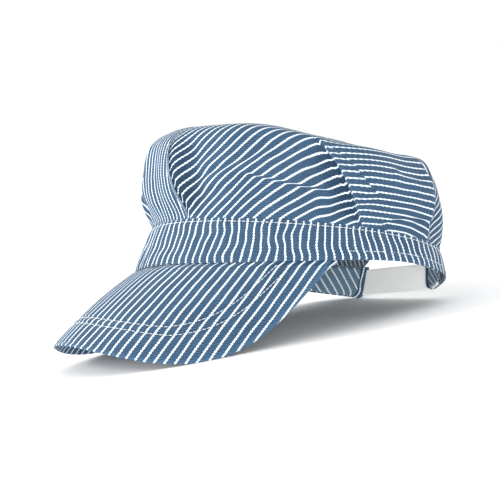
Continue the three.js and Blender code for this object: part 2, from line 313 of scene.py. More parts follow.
free = ease(76.0, 79.0, np.abs(angles))[:, None]
groove = groove - 0.30 * free * np.exp(-((along_mm - 5.2) / 0.6) ** 2)
proud = np.clip(ripple + swell, -0.25, 0.5) + groove
bent = round_end(angles[:, None], along_mm)
outer = band_point(bent, along_mm / height, round_in - proud)
inner = band_point(bent, along_mm / height, BAND_CLOTH - round_in * INNER_ROUND)
section = np.concatenate([outer, inner[:, ::-1]], 1)
hems, hem_u = [], []
turns = np.concatenate([np.linspace(0.0, math.pi, 13)[1:], np.full(4, math.pi)])
backs = np.concatenate([np.zeros(12), np.linspace(0.0, HEM_WIDTH, 5)[1:]])
for end, way in ((0, -1), (-1, 1)):
    faces_of_end = []
    for turn, step_back in zip(turns, backs):
        side = []
        for radius_of, taper in ((HEM_OUT, round_in[end]), (HEM_IN, -round_in[end] * INNER_ROUND)):
            advance = (radius_of * math.sin(turn) - step_back) / END_MM
            inset = HEM_OUT - radius_of * math.cos(turn) + taper * math.cos(turn)
            side.append(band_point(bent[end] + way * advance, along_mm[end] / height[end], inset))
        faces_of_end.append(np.concatenate([side[0], side[1][::-1]]))
    hems.append(np.array(faces_of_end))
    hem_u.append(way * (HEM_OUT * turns + backs))
section = np.concatenate([hems[0][::-1], section, hems[1]])
arc = run_along(ring_point(LOWER, angles))
arc = arc - arc.mean()
drawn = 0.35 + 0.65 * np.abs(np.sin(np.radians(angles)[:, None] * 7.3 + 0.6))
phase = 1.4 * np.sin(np.radians(angles)[:, None] * 5.1 + 2.0) + np.radians(angles)[:, None] * 3.0
shear = drawn * (0.95 * np.sin(along_mm * 0.27 + phase) + 0.30 * np.sin(along_mm * 0.62 - 2.0 * phase))
cloth_u = arc[:, None] + shear
cloth = np.stack([np.concatenate([cloth_u, cloth_u[:, ::-1]], 1),
                  np.concatenate([along_mm, -along_mm[:, ::-1]], 1)], -1)
# Rubbed edges are lighter (wear); the cloth along the stitch groove under the crown seam is darkened as
# painted shade.
edge_wear_and_groove_shade = 0.9 * np.exp(-(turned_in / 0.8) ** 2) - 0.7 * np.exp(-((from_top - 2.0) / 0.7) ** 2)
wear_and_shade = np.concatenate([edge_wear_and_groove_shade, 0.0 * edge_wear_and_groove_shade], 1)
extra = len(turns)
before = cloth[:1] + np.stack([hem_u[0][::-1], 0.0 * turns], -1)[:, None, :]
after = cloth[-1:] + np.stack([hem_u[1], 0.0 * turns], -1)[:, None, :]
cloth = np.concatenate([before, cloth, after])
wear_and_shade = np.concatenate([np.repeat(wear_and_shade[:1], extra, 0), wear_and_shade, np.repeat(wear_and_shade[-1:], extra, 0)])
faces = strip_faces(len(section), section.shape[1])
band = cloth_piece("cap_band", section.reshape(-1, 3), faces, cloth.reshape(-1, 2), [twill], wear_and_shade=wear_and_shade)
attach(band, "root")
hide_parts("band")


# The crown: one round of the same cloth, flat on top and let down all round to
# the band, where three deep pleats a side take up its fullness. The lips of the
# pleats stand over the pockets behind them; the cut edge is tucked into the seam.
RIM_LEVEL, RIM_FRONT, RIM_ENDS = 76.4, 5.2, 2.5
OVERHANG, TOP_DOME = 8.0, 5.0
SHOULDER_AT, SHOULDER_SPREAD = 62.0, 34.0
WALL = np.array([
    # up    front   back   side
    (0.00, 0.00, 0.00, 0.00), (0.02, 0.00, 0.00, 0.00), (0.10, 0.25, 0.00, 0.00),
    (0.20, 0.60, -0.05, 0.00), (0.32, 0.86, 0.08, 0.00), (0.44, 0.98, 0.12, 0.00),
    (0.56, 0.92, 0.02, 0.00), (0.68, 0.80, -0.25, 0.00), (0.80, 0.66, -0.80, 0.05),
    (0.90, 0.12, -1.10, 0.45), (0.96, -0.65, -1.20, 0.85), (1.00, -1.60, -1.85, 1.30),
])
TOP = np.array([
    # reach  dome
    (0.0, 1.0), (0.20, 0.97), (0.40, 0.85), (0.62, 0.60), (0.82, 0.25), (1.0, 0.0),
])
CLOTH_AT_RIM, CLOTH_AT_SEAM = 85.0, 143.0
CROWN_WALL = 0.9
PLEAT_DEPTH, PLEAT_LAP = 8.0, 7.5
PLEATS = [
    # at and lean place the fold in degrees, way is 1 where its edge faces back, and
    # rim and seam give the cloth's own angle on both sides of it, at top and bottom
    dict(at=15.0, lean=7.0, way=1, bulge=0.42, pocket=0.46, swell=16.0, recover=30.0, wide=9.0,
         rim=(7.2, 9.1), seam=(10.5, 31.0)),
    dict(at=85.0, lean=19.0, way=-1, bulge=0.30, pocket=0.80, swell=18.0, recover=16.0, wide=6.0,
         rim=(64.9, 66.9), seam=(65.0, 82.0)),
    dict(at=120.0, lean=2.0, way=1, bulge=0.16, pocket=0.12, swell=16.0, recover=14.0, wide=5.0,
         rim=(90.0, 92.0), seam=(93.0, 158.0)),
]
FOLD_DROP = 1.6
PANEL_COLUMNS = (34, 84, 50, 62)
FOLD_COLUMNS = 13
MM_PER_DEGREE, WALL_MM = 1.42, 56.0
FULLNESS = 1.13
CREASES = [
    # line of (angle, share of the way up), valley, ridge below it, step, cloth hidden under the step
    dict(line=[(15, 0.34), (20, 0.40), (31, 0.52), (39, 0.63), (45, 0.73), (51, 0.86)],
         valley=1.5, ridge=1.5, step=0.0, hidden=0.0),
    dict(line=[(37, 0.50), (41, 0.47), (47, 0.43), (55, 0.40), (63, 0.37), (74, 0.37)],
         valley=0.4, ridge=0.0, step=1.6, hidden=3.4),
    dict(line=[(68, 0.93), (74, 0.83), (79, 0.69), (82, 0.57), (85.5, 0.45), (91, 0.35)],
         valley=0.5, ridge=0.0, step=-1.3, hidden=-2.0),
    dict(line=[(92, 0.05), (98, 0.12), (104, 0.17), (112, 0.21), (121, 0.24)],
         valley=0.5, ridge=0.3, step=1.5, hidden=1.6),
    dict(line=[(97, 0.78), (103, 0.72), (110, 0.70), (118, 0.72)],
         valley=0.8, ridge=0.9, step=0.0, hidden=0.0),
]


def wall_base(angle, up):
    """The crown's wall before any pleat, and the way out of it."""
    dense = np.linspace(0.0, 1.0, 501)
    kernel = np.exp(-(np.linspace(-3, 3, 41) ** 2) / 2)
    kernel /= kernel.sum()
    seam = ring_point(UPPER, angle)
    out = ring_out(UPPER, angle)
    share = []
    for column in (1, 2, 3):
        line = np.interp(dense, WALL[:, 0], WALL[:, column])
        line = np.convolve(np.pad(line, 20, mode="reflect", reflect_type="odd"), kernel, mode="valid")
        share.append(np.interp(up, dense, line))
    turn = np.radians(angle)
    front = (1.0 + np.cos(turn)) / 2
    wrapped = np.abs((angle + 180.0) % 360.0 - 180.0)
    shoulder = np.exp(-((wrapped - SHOULDER_AT) / SHOULDER_SPREAD) ** 2)
    reach = (share[1] * (1 - front) + share[0] * front + share[2] * shoulder) * OVERHANG
    rim = RIM_LEVEL + RIM_FRONT * np.cos(turn) + RIM_ENDS * np.cos(2 * turn)
    tall = rim - seam[..., 2]
    side = seam[..., 0] / ARCH_HALF
    cut = np.where((wrapped > 90) & (np.abs(side) < 1), ARCH_RISE * (1 - side ** 2), 0.0) / tall
    place = seam + out * np.asarray(reach)[..., None]
    place[..., 2] = seam[..., 2] + (cut + (1 - cut) * up) * tall
    return place, out


def crown_levels():
    """Heights of the crown's rows, evenly spaced along its section."""
    dense = np.linspace(0.0, 1.0, 801)
    line, _ = wall_base(np.full(801, 60.0), dense)
    run = run_along(line)
    even = np.interp(np.linspace(0.0, run[-1], 74), run, dense)
    return even, np.interp(even, dense, run), run[-1]


def pleat_terms(pleat, up):
    strength = ease(0.02, 0.3, up) * (1 - ease(0.62, 1.0, up)) * PLEAT_DEPTH
    return pleat["at"] - pleat["lean"] * up, pleat["bulge"] * strength, pleat["pocket"] * strength


def pleat_push(pleat, angle, up):
    """How far one pleat moves the cloth beside it, away from its own fold."""
    fold, bulge, pocket = pleat_terms(pleat, up)
    past = (np.abs(angle) - fold) * pleat["way"]
    lip = bulge * np.exp(np.minimum(past + 1.0, 0.0) / pleat["swell"])
    floor = -pocket * np.exp(-np.maximum(past - pleat["wide"], 0.0) / pleat["recover"])
    down = ease(1.1, pleat["wide"] + 1.1, past)
    floor = (bulge - FOLD_DROP * np.minimum(bulge, 1.0)) * (1 - down) + floor * down
    return np.where(past <= 0, lip, floor)


def fold_path(lap, lip, flat):
    """One pleat's fold in section: over the lip, back under it, and out along the floor."""
    share = np.linspace(0.0, 1.0, FOLD_COLUMNS)
    nose = 0.55
    floor = lip - FOLD_DROP * min(lip, 1.0)
    under = lip - 2 * nose
    x = np.array([-1.2, -0.55, -0.16, 0.0, -0.16, -0.55 - 0.3 * lap, -0.7 - 0.75 * lap,
                  -0.9 - lap, -1.0 - 1.04 * lap, -0.8 - 0.95 * lap, -0.5 * lap, 0.2, 1.6])
    drop = under - floor
    y = np.array([lip, lip, lip - 0.16, lip - nose, lip - 0.94, under - 0.06 * drop, under - 0.18 * drop,
                  under - 0.35 * drop, under - 0.6 * drop, under - 0.88 * drop, floor, floor, floor])
    plain_x = -1.2 + 2.8 * share
    plain_y = lip + (floor - lip) * ease(0.0, 1.0, share)
    return flat * plain_x + (1 - flat) * x, flat * plain_y + (1 - flat) * y


def crown_side(up, grow, lap):
    """Angle, push and cloth angle of one row's columns, from the front to the back."""
    angle, push, spin = [], [], []
    start, start_spin = 0.0, 0.0
    flat = float(ease(0.60, 0.92, up))
    for number, count in enumerate(PANEL_COLUMNS):
        last = number == len(PLEATS)
        if last:
            end, end_spin = 180.0, 180.0
        else:
            pleat = PLEATS[number]
            fold, bulge, _ = pleat_terms(pleat, up)
            x, y = fold_path(lap, bulge, flat)
            if pleat["way"] < 0:
                x, y = -x[::-1], y[::-1]
            x = fold + x / MM_PER_DEGREE
            low_spin, high_spin = (r + (s - r) * grow for r, s in zip(pleat["rim"], pleat["seam"]))
            end, end_spin = x[0], low_spin
        share = np.linspace(0.0, 1.0, count + 1)
        if number:
            share = share[1:]
        if not last:
            share = share[:-1]
        share = share + 0.035 * np.sin(2 * np.pi * share) * (0 if number == 0 else 1)
        panel = start + (end - start) * share
        angle.append(panel)
        turn = start_spin + (end_spin - start_spin) * share
        if number == 2:
            turn = turn + 8.0 * ease(0.4, 1.0, share) * ease(0.45, 0.0, up)
        spin.append(turn)
        push.append(sum(pleat_push(p, panel, up) for p in PLEATS))
        if not last:
            angle.append(x)
            spin.append(np.linspace(turn[-1], high_spin, FOLD_COLUMNS))
            others = [pleat_push(p, x, up) for p in PLEATS if p is not pleat]
            push.append(y + sum(others))
            start, start_spin = x[-1], high_spin
    return tuple(np.concatenate(line) for line in (angle, push, spin))


def grow_at(reach):
    """How far the pleats have opened where the cloth is this far from its middle."""
    return (1 - CLOTH_AT_RIM / reach) / (1 - CLOTH_AT_RIM / CLOTH_AT_SEAM)


def both_sides(line, mirrored):
    """One side's columns carried round the whole crown."""
    other = -line[1:-1][::-1] if mirrored else line[1:-1][::-1]
    return np.concatenate([other, line])


levels, run, wall_run = crown_levels()
wall_cloth = CLOTH_AT_RIM + (CLOTH_AT_SEAM - CLOTH_AT_RIM) * (1 - run / wall_run)
top_reach = np.linspace(1.0, 0.0, 40)[1:-1]
base, ways, pushes, spins, cloth_reach, row_angle, row_up = [], [], [], [], [], [], []
for up, s in zip(levels, wall_cloth):
    lap = PLEAT_LAP * float(ease(1.0, 0.25, up))
    line = crown_side(up, max(grow_at(s), 0.0), lap)
    angle, push, spin = (both_sides(v, m) for v, m in zip(line, (True, False, True)))
    place, out = wall_base(angle, up)
    base.append(place)
    ways.append(out)
    pushes.append(push)
    spins.append(spin)
    cloth_reach.append(np.full(len(angle), s))
    row_angle.append(angle)
    row_up.append(np.full(len(angle), up))
rim = base[-1]
middle = np.array([0.0, UPPER["centre"], 0.0])
for reach in top_reach:
    place = middle + (rim - middle) * reach
    flat_top = RIM_LEVEL + RIM_ENDS
    dome = np.interp(reach, TOP[:, 0], TOP[:, 1]) * TOP_DOME
    place[:, 2] = flat_top + (rim[:, 2] - flat_top) * reach + dome
    base.append(place)
    ways.append(ways[len(levels) - 1])
    pushes.append(0.0 * pushes[0])
    plain = float(ease(1.0, 0.45, reach))
    spins.append(spins[len(levels) - 1] * (1 - plain) + row_angle[len(levels) - 1] * plain)
    cloth_reach.append(np.full(len(rim), reach * CLOTH_AT_RIM))
    row_angle.append(row_angle[len(levels) - 1])
    row_up.append(np.full(len(rim), 2.0 - reach))
base, ways, pushes = np.array(base), np.array(ways), np.array(pushes)
spins, cloth_reach = np.array(spins), np.array(cloth_reach)
row_angle, row_up = np.array(row_angle), np.array(row_up)

softened = base.copy()
for _ in range(10):
    softened[1:-1] = 0.5 * softened[1:-1] + 0.25 * (softened[:-2] + softened[2:])
keep = ease(0.30, 0.75, row_up)[..., None] * ease(0.0, 0.15, 2.0 - row_up)[..., None]
base = base * (1 - keep) + softened * keep
row_step = np.gradient(base, axis=0)
column_step = np.stack([-ways[..., 1], ways[..., 0], 0.0 * ways[..., 0]], -1)
normal = unit(np.cross(column_step, row_step))

flat_x = cloth_reach * np.sin(np.radians(row_angle))
flat_y = -cloth_reach * np.cos(np.radians(row_angle))
rng = np.random.default_rng(5)
crumple = np.zeros_like(flat_x)
for count in range(26):
    long, heading, phase = rng.uniform(24, 75), rng.uniform(0, math.pi), rng.uniform(0, 6.28)
    wave = np.sin((flat_x * math.cos(heading) + flat_y * math.sin(heading)) * 6.28 / long + phase)
    crumple += 0.0052 * long * wave
gather = np.zeros_like(flat_x)
for count in range(8):
    waves, phase = rng.integers(14, 44), rng.uniform(0, 6.28)
    gather += 0.16 * np.sin(np.radians(row_angle) * waves + phase + row_up * rng.uniform(-1.5, 1.5))
settle = ease(0.03, 0.22, row_up)
crumple = crumple * settle + gather * ease(0.0, 0.10, row_up) * ease(0.95, 0.35, row_up)


def along_line(angle, up, line):
    """Distance from a crease, in millimetres and positive above it, and the share of its length."""
    spots = np.array([(a * MM_PER_DEGREE, u * WALL_MM) for a, u in line])
    x, y = angle * MM_PER_DEGREE, up * WALL_MM
    best, share = np.full(x.shape, 1e9), np.zeros(x.shape)
    run = run_along(spots)
    for k in range(len(spots) - 1):
        (ax, ay), (bx, by) = spots[k], spots[k + 1]
        length = math.hypot(bx - ax, by - ay)
        t = np.clip(((x - ax) * (bx - ax) + (y - ay) * (by - ay)) / length ** 2, 0.0, 1.0)
        gap = np.hypot(x - ax - t * (bx - ax), y - ay - t * (by - ay))
        near = gap < best
        best = np.where(near, gap, best)
        share = np.where(near, (run[k] + t * length) / run[-1], share)
    above = y >= np.interp(x, spots[:, 0], spots[:, 1])
    return np.where(above, best, -best), share


slack = np.zeros_like(flat_x)
for crease in CREASES:
    for way, shift, strength in ((1, 0.0, 1.0), (-1, 3.0, 0.8)):
        line = [(a + shift, u) for a, u in crease["line"]]
        gap, share = along_line(row_angle * way, row_up, line)
        fade = strength * ease(0.0, 0.18, share) * ease(1.0, 0.80, share) * (row_angle * way > 0)
        crumple -= fade * crease["valley"] * np.exp(-(gap / 2.2) ** 2)
        crumple += fade * crease["ridge"] * np.exp(-((gap + 7.0) / 5.0) ** 2)
        lift = np.where(gap > 0, np.exp(-gap / 9.0), -np.exp(gap / 7.0)) * np.tanh(np.abs(gap) / 0.9)
        crumple += fade * crease["step"] * lift
        slack += fade * crease["hidden"] * ease(0.8, -0.8, gap) * np.exp(np.minimum(gap, 0.0) / 30.0)

crown_skin = base + ways * pushes[..., None] + normal * crumple[..., None]
cloth_reach = cloth_reach + slack

# The cut edge, tucked behind the band, and shallow where the strap's ends lie.
CROWN_TUCK, TUCK_AT_STRAP, TUCK_FADE, STRAP_ROOM = 8.0, 1.2, 8.0, 26.0
skirt, skirt_spin = [], []
start = back_angle(UPPER, ARCH_HALF + STRAP_ROOM)
for share in (1.0, 0.5, 0.0):
    lap = PLEAT_LAP * (1 - share)
    line = crown_side(0.0, 1.0, lap)
    angle, push, spin = (both_sides(v, m) for v, m in zip(line, (True, False, True)))
    full = ease(start, start + TUCK_FADE, np.abs(angle))
    depth = (CROWN_TUCK * (1 - full) + TUCK_AT_STRAP * full) * share
    inset = 1.5 - 0.04 * np.clip(push, -2.5, 0.0)
    place = band_point(angle, 1 - depth / band_height(angle), inset)
    side = ring_point(UPPER, angle)[:, 0] / ARCH_HALF
    place[:, 2] += np.where((np.abs(angle) > 90) & (np.abs(side) < 1), ARCH_RISE * (1 - side ** 2), 0.0)
    skirt.append(place)
    skirt_spin.append(spin)
skin = np.concatenate([np.array(skirt), crown_skin])
spins = np.concatenate([np.array(skirt_spin), spins])
skirt_reach = [np.full(skin.shape[1], CLOTH_AT_SEAM + d) for d in (8.0, 4.0, 0.3)]
cloth_reach = np.concatenate([np.array(skirt_reach), cloth_reach])

inner_rows = list(range(0, len(levels), 4)) + list(range(len(levels), len(base), 4))
inner_up = np.clip(row_up[inner_rows], 0.0, 1.0)
inner_angle = np.sort(row_angle[0])
lining = []
for row in inner_rows:
    up = float(min(row_up[row, 0], 1.0))
    lap = PLEAT_LAP * float(ease(1.0, 0.25, up)) / MM_PER_DEGREE
    place, out = wall_base(inner_angle, up)
    if row_up[row, 0] > 1.0:
        reach = 2.0 - row_up[row, 0]
        flat_top = RIM_LEVEL + RIM_ENDS
        place = middle + (place - middle) * reach
        place[:, 2] = flat_top + (wall_base(inner_angle, 1.0)[0][:, 2] - flat_top) * reach
        place[:, 2] += np.interp(reach, TOP[:, 0], TOP[:, 1]) * TOP_DOME
    push = 0.0
    for pleat in PLEATS:
        fold, bulge, pocket = pleat_terms(pleat, up)
        past = (np.abs(inner_angle) - fold) * pleat["way"] + lap + 1.5
        step = ease(-2.5, 0.5, past)
        side = bulge * np.exp(np.minimum(past, 0.0) / pleat["swell"])
        back = -pocket * np.exp(-np.maximum(past - lap - 2.5, 0.0) / pleat["recover"])
        push = push + side * (1 - step) + back * step
    lining.append(place + out * np.asarray(push)[..., None])
lining = np.array(lining)
row_step = np.gradient(lining, axis=0)
column_step = np.roll(lining, -1, 1) - np.roll(lining, 1, 1)
inward = -unit(np.cross(column_step, row_step))
settle = ease(0.03, 0.22, inner_up)[:, :1]
lining = lining + inward * (CROWN_WALL + 0.9 + 2.6 * settle)[..., None]
edge_in = skirt[0] - ring_out(UPPER, row_angle[0]) * 1.1
columns = skin.shape[1]
outer_rows = len(skin)
points = [skin.reshape(-1, 3), edge_in, lining.reshape(-1, 3)]
spun = np.radians(spins)
cloth = FULLNESS * np.stack([cloth_reach * np.sin(spun), -cloth_reach * np.cos(spun)], -1)
inner_reach = np.interp(row_up[inner_rows, 0], row_up[:, 0], cloth_reach[3:, 0])
inner_cloth = inner_reach[:, None, None] * np.stack(
    [np.sin(np.radians(inner_angle)), -np.cos(np.radians(inner_angle))], -1)[None]
cloth = [cloth.reshape(-1, 2), cloth[0], inner_cloth.reshape(-1, 2)]
faces, second = [], []
for r in range(outer_rows - 1):
    for k in range(columns):
        n = (k + 1) % columns
        faces.append((r * columns + k, r * columns + n, (r + 1) * columns + n, (r + 1) * columns + k))
        second.append(0)
edge_row = outer_rows * columns
first_inner = edge_row + columns
for k in range(columns):
    n = (k + 1) % columns
    faces.append((edge_row + k, edge_row + n, n, k))
    faces.append((first_inner + k, first_inner + n, edge_row + n, edge_row + k))
    second += [0, 1]
for r in range(len(inner_rows) - 1):
    for k in range(columns):
        n = (k + 1) % columns
        a = first_inner + r * columns
        faces.append((a + n, a + k, a + columns + k, a + columns + n))
        second.append(1)
total = first_inner + len(inner_rows) * columns
top_point = skin[-1].mean(0)
top_inner = lining[-1].mean(0)
points += [top_point[None], top_inner[None]]
cloth += [np.zeros((1, 2)), np.zeros((1, 2))]
for k in range(columns):
    n = (k + 1) % columns
    faces.append(((outer_rows - 1) * columns + k, (outer_rows - 1) * columns + n, total))
    faces.append((total - columns + n, total - columns + k, total + 1))
    second += [0, 1]
# The sun fades the lips of the pleats; the cloth in the pockets behind them is darkened as painted
# shade.
lip_fade_and_pocket_shade = np.zeros_like(row_angle)
for pleat in PLEATS:
    past = (np.abs(row_angle) - pleat["at"] + pleat["lean"] * np.minimum(row_up, 1.0)) * pleat["way"]
    tall = ease(0.0, 0.15, row_up) * ease(0.98, 0.65, row_up)
    pocket = np.exp(-((past - 0.25 * pleat["wide"]) / (0.65 * pleat["wide"])) ** 2)
    lip = np.exp(-(past / 0.9) ** 2)
    lip_fade_and_pocket_shade += tall * np.where(past > 0, -1.35 * pocket, 0.7 * lip)
wear_and_shade = np.zeros(total + 2)
wear_and_shade[3 * columns:outer_rows * columns] = lip_fade_and_pocket_shade.ravel()
crown = cloth_piece("cap_crown", np.concatenate(points), faces, np.concatenate(cloth),
                    [twill, reverse_shaded], second, wear_and_shade)
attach(crown, "root")
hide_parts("crown")


# The facing: the strip behind the band, cut on the bias from the same cloth, so
# its stripes slant. It shows through the open arch and from below.
FACING_OUTER, FACING_CLOTH = 3.2, 1.0

# Its colours are lighter than the band's, in part painted light that brightens the dim inside of the
# band.
facing_twill_lightened = striped_twill("facing_twill_lightened", (0.078, 0.150, 0.212), (0.175, 0.285, 0.390),
                             (0.860, 0.910, 0.930), (0.560, 0.640, 0.700), turned=45.0)
angles = np.linspace(-BAND_END + 0.15, BAND_END - 0.15, 421)
share = np.linspace(0.0, 1.0, 22)
rows = 0.03 + 0.92 * (share - 0.06 * np.sin(2 * np.pi * share))
height = band_height(angles)[:, None]
along_mm = rows[None, :] * height
edge = np.minimum(along_mm - 0.03 * height, 0.95 * height - along_mm)
round_in = rounded(edge, FACING_CLOTH / 2)
groove = 0.22 * np.exp(-((along_mm - 0.03 * height - 3.0) / 0.6) ** 2)
bent = round_end(angles[:, None], along_mm - 0.6)
outer = band_point(bent, rows[None, :], FACING_OUTER + round_in)
inner = band_point(bent, rows[None, :], FACING_OUTER + FACING_CLOTH - round_in - groove)
section = np.concatenate([outer, inner[:, ::-1]], 1)
arc = run_along(ring_point(LOWER, angles))
cloth_u = arc[:, None] + 0.0 * along_mm
cloth = np.stack([np.concatenate([cloth_u, cloth_u[:, ::-1]], 1),
                  np.concatenate([along_mm, along_mm[:, ::-1]], 1)], -1)
facing = cloth_piece("cap_facing", section.reshape(-1, 3), strip_faces(len(angles), section.shape[1]),
                     cloth.reshape(-1, 2), [facing_twill_lightened])
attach(facing, "root")
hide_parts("facing")


# The visor: a stiff board covered above and below in the striped cloth, its
# tongue sewn in between band and facing. Two rows of stitching run round it
# inside the turned edge and draw the cloth down.
VISOR_CORNER, VISOR_REACH, VISOR_ROUNDNESS = 74.5, 52.0, 3.7
VISOR_SLOPE, VISOR_SIDE_SLOPE, VISOR_DROOP, VISOR_SIDE_DROOP = 0.70, 0.25, 11.0, 12.0
VISOR_TWIST, VISOR_NARROWING, VISOR_THICKNESS = 0.09, 14.5, 2.4
VISOR_FAR_LIFT, VISOR_MM = 3.0, 68.0
VISOR_ROWS, VISOR_ROW_DIP = (0.815, 0.750), 0.045


def visor_surface(side, run):
    place = band_point(side * VISOR_CORNER, 0.0 * side, 0.0 * side)
    forward = run * VISOR_REACH
    slope = VISOR_SLOPE + VISOR_SIDE_SLOPE * side ** 2
    droop = VISOR_DROOP + VISOR_SIDE_DROOP * side ** 2
    place[..., 0] -= VISOR_NARROWING * side * run
    place[..., 1] -= forward
    place[..., 2] -= slope * forward + droop * run ** 2 + VISOR_TWIST * place[..., 0] * run
    place[..., 2] += VISOR_FAR_LIFT * ease(-0.45, -1.0, side) * run ** 2
    return place


def visor_square(across, ahead):
    """The square's point drawn in to the visor's rounded outline."""
    far = np.maximum(np.maximum(np.abs(across), ahead), 1e-6)
    power = VISOR_ROUNDNESS
    shrink = ((np.abs(across) / far) ** power + (ahead / far) ** power) ** (-1 / power)
    return across * shrink, ahead * shrink, far


def visor_normal(side, run):
    d = 1e-3
    one = visor_surface(side + d, run) - visor_surface(side - d, run)
    two = visor_surface(side, run + d) - visor_surface(side, run - d)
    return unit(np.cross(one, -two))


def row_dip(across, ahead):
    """How much further in a stitch row runs across the front than along the sides."""
    far = np.maximum(np.maximum(np.abs(across), ahead), 1e-6)
    return VISOR_ROW_DIP * (1 - np.minimum(np.abs(across) / far / 0.75, 1.0) ** 2)


def visor_quilt(across, ahead):
    """How far the cloth stands off the board: drawn down by the stitch rows and a little wavy."""
    side, run, far = visor_square(across, ahead)
    sewn = far + row_dip(across, ahead)
    quilt = 0.22 * np.exp(-(((sewn - np.mean(VISOR_ROWS)) * VISOR_MM) / 1.3) ** 2)
    for row in VISOR_ROWS:
        quilt -= 0.42 * np.exp(-(((sewn - row) * VISOR_MM) / 0.9) ** 2)
    quilt -= 0.25 * np.exp(-(((1 - far) * VISOR_MM - 2.2) / 0.8) ** 2)
    wave = 0.22 * np.sin(side * 9.0 + run * 4.0) + 0.15 * np.sin(side * 17.0 - run * 7.0 + 1.0)
    return (quilt + wave * ease(0.0, 4.0, (1 - far) * VISOR_MM)) * ease(0.06, 0.12, ahead)


def flatten(surface, flat, rounds):
    """Lays a grid of surface points out flat and keeps the lengths between them."""
    flat = flat.copy()
    rows, columns = surface.shape[:2]
    ties = []
    for r, c in ((0, 1), (1, 0), (1, 1), (1, -1), (0, 2), (2, 0)):
        one = (slice(0, rows - r), slice(max(0, -c), columns - max(0, c)))
        two = (slice(r, rows), slice(max(0, c), columns - max(0, -c)))
        ties.append((one, two, np.linalg.norm(surface[two] - surface[one], axis=-1)))
    for _ in range(rounds):
        move = np.zeros_like(flat)
        for one, two, length in ties:
            apart = flat[two] - flat[one]
            now = np.linalg.norm(apart, axis=-1)
            pull = apart * (0.5 * (now - length) / np.maximum(now, 1e-9))[..., None]
            move[one] += pull
            move[two] -= pull
        flat += move * 0.22
    return flat


fine = 1 - np.array([0.0, 0.0012, 0.004, 0.0085, 0.014, 0.022])
across = np.concatenate([-fine, np.linspace(-0.965, 0.965, 190), fine[::-1]])
ahead = np.concatenate([np.linspace(0.06, 0.965, 62), fine[::-1]])
a, b = np.meshgrid(across, ahead)
side, run, far = visor_square(a, b)
upper = visor_surface(side, run)
normal = visor_normal(side, run)
edge = (1 - far) * VISOR_MM
sewn = far + row_dip(a, b)
radius = VISOR_THICKNESS / 2 * (0.5 + 0.5 * ease(0.0, 18.0, edge))
half = np.sqrt(np.maximum(radius ** 2 - np.maximum(radius - edge, 0.0) ** 2, 0.0))
quilt = visor_quilt(a, b)
core = upper - normal * radius[..., None]
top = core + normal * (half + quilt * (half > 0))[..., None]
under = core - normal * (half + 0.6 * quilt * (half > 0))[..., None]


def seam_row(up, inset):
    angle = across * VISOR_CORNER
    return band_point(angle, up / band_height(angle), np.full_like(angle, inset))


top_rows = np.concatenate([[seam_row(8.0, 1.5), seam_row(-0.3, 1.5), seam_row(-0.6, 0.3)], top])
under_rows = np.concatenate([[seam_row(8.0, 2.9), seam_row(-0.3, 2.9), seam_row(-2.4, 1.5)], under])
rows, columns = top_rows.shape[:2]
points = np.concatenate([top_rows.reshape(-1, 3), under_rows.reshape(-1, 3)])
faces = []
lower = rows * columns
for r in range(rows - 1):
    for k in range(columns - 1):
        p = r * columns + k
        faces.append((p, p + columns, p + columns + 1, p + 1))
        q = lower + p
        faces.append((q, q + 1, q + columns + 1, q + columns))
for k in range(columns - 1):
    faces.append((k, k + 1, lower + k + 1, lower + k))
    e = (rows - 1) * columns + k
    faces.append((e + 1, e, lower + e, lower + e + 1))
for r in range(rows - 1):
    p = r * columns
    faces.append((p + columns, p, lower + p, lower + p + columns))
    e = p + columns - 1
    faces.append((e, e + columns, lower + e + columns, lower + e))
pick_c = np.unique(np.round(np.linspace(0, len(across) - 1, 35)).astype(int))
pick_r = np.unique(np.round(np.linspace(0, len(ahead) - 1, 15)).astype(int))
coarse = upper[np.ix_(pick_r, pick_c)]
start = np.stack([coarse[..., 0] * 1.3, coarse[..., 2] * 1.3], -1)
coarse = flatten(coarse, start, 2500)
full = np.stack([[np.interp(across, across[pick_c], row) for row in coarse[..., k]]
                 for k in range(2)], -1)
flat = np.stack([[np.interp(ahead, ahead[pick_r], column) for column in full[..., k].T]
                 for k in range(2)], -1)
flat = flatten(upper, flat.transpose(1, 0, 2), 120)
centre = len(across) // 2
down = unit(flat[-1, centre] - flat[0, centre])
flat = flat - flat[0, centre]
cloth_u = flat[..., 0] * -down[1] + flat[..., 1] * down[0]
cloth_v = -(flat[..., 0] * down[0] + flat[..., 1] * down[1])
flat = np.stack([cloth_u, cloth_v], -1)
tongue = np.array([8.0, 0.5, 0.2])[:, None, None] * np.array([0.0, 1.0]) + flat[:1]
cloth = np.concatenate([tongue, flat]).reshape(-1, 2)
far_rows = np.concatenate([np.zeros((3, columns)), far])
# The rim is lighter where it is rubbed (wear); the cloth along the stitch rows is darkened as painted
# shade in their grooves.
wear_and_shade = 0.9 * np.exp(-((1 - far_rows) * VISOR_MM / 1.5) ** 2)
sewn_rows = np.concatenate([np.zeros((3, columns)), sewn])
for row in VISOR_ROWS:
    wear_and_shade -= 0.6 * np.exp(-(((sewn_rows - row) * VISOR_MM) / 0.8) ** 2)
wear_and_shade = np.concatenate([wear_and_shade.ravel(), wear_and_shade.ravel()])
visor = cloth_piece("cap_visor", points, faces, np.concatenate([cloth, cloth]), [twill], wear_and_shade=wear_and_shade)
shape = bmesh.new()
shape.from_mesh(visor.data)
bmesh.ops.remove_doubles(shape, verts=shape.verts, dist=2e-6)
shape.to_mesh(visor.data)
shape.free()
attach(visor, "root")
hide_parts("visor")


# The strap: wide white elastic across the open arch at the back, flat and
# matt, its ends caught between band and facing.
STRAP_HEIGHT, STRAP_THICKNESS, STRAP_TUCKED = 16.0, 1.2, 12.0
STRAP_ABOVE_EDGE, STRAP_SAG, STRAP_SLANT = 0.9, 2.0, 0.9

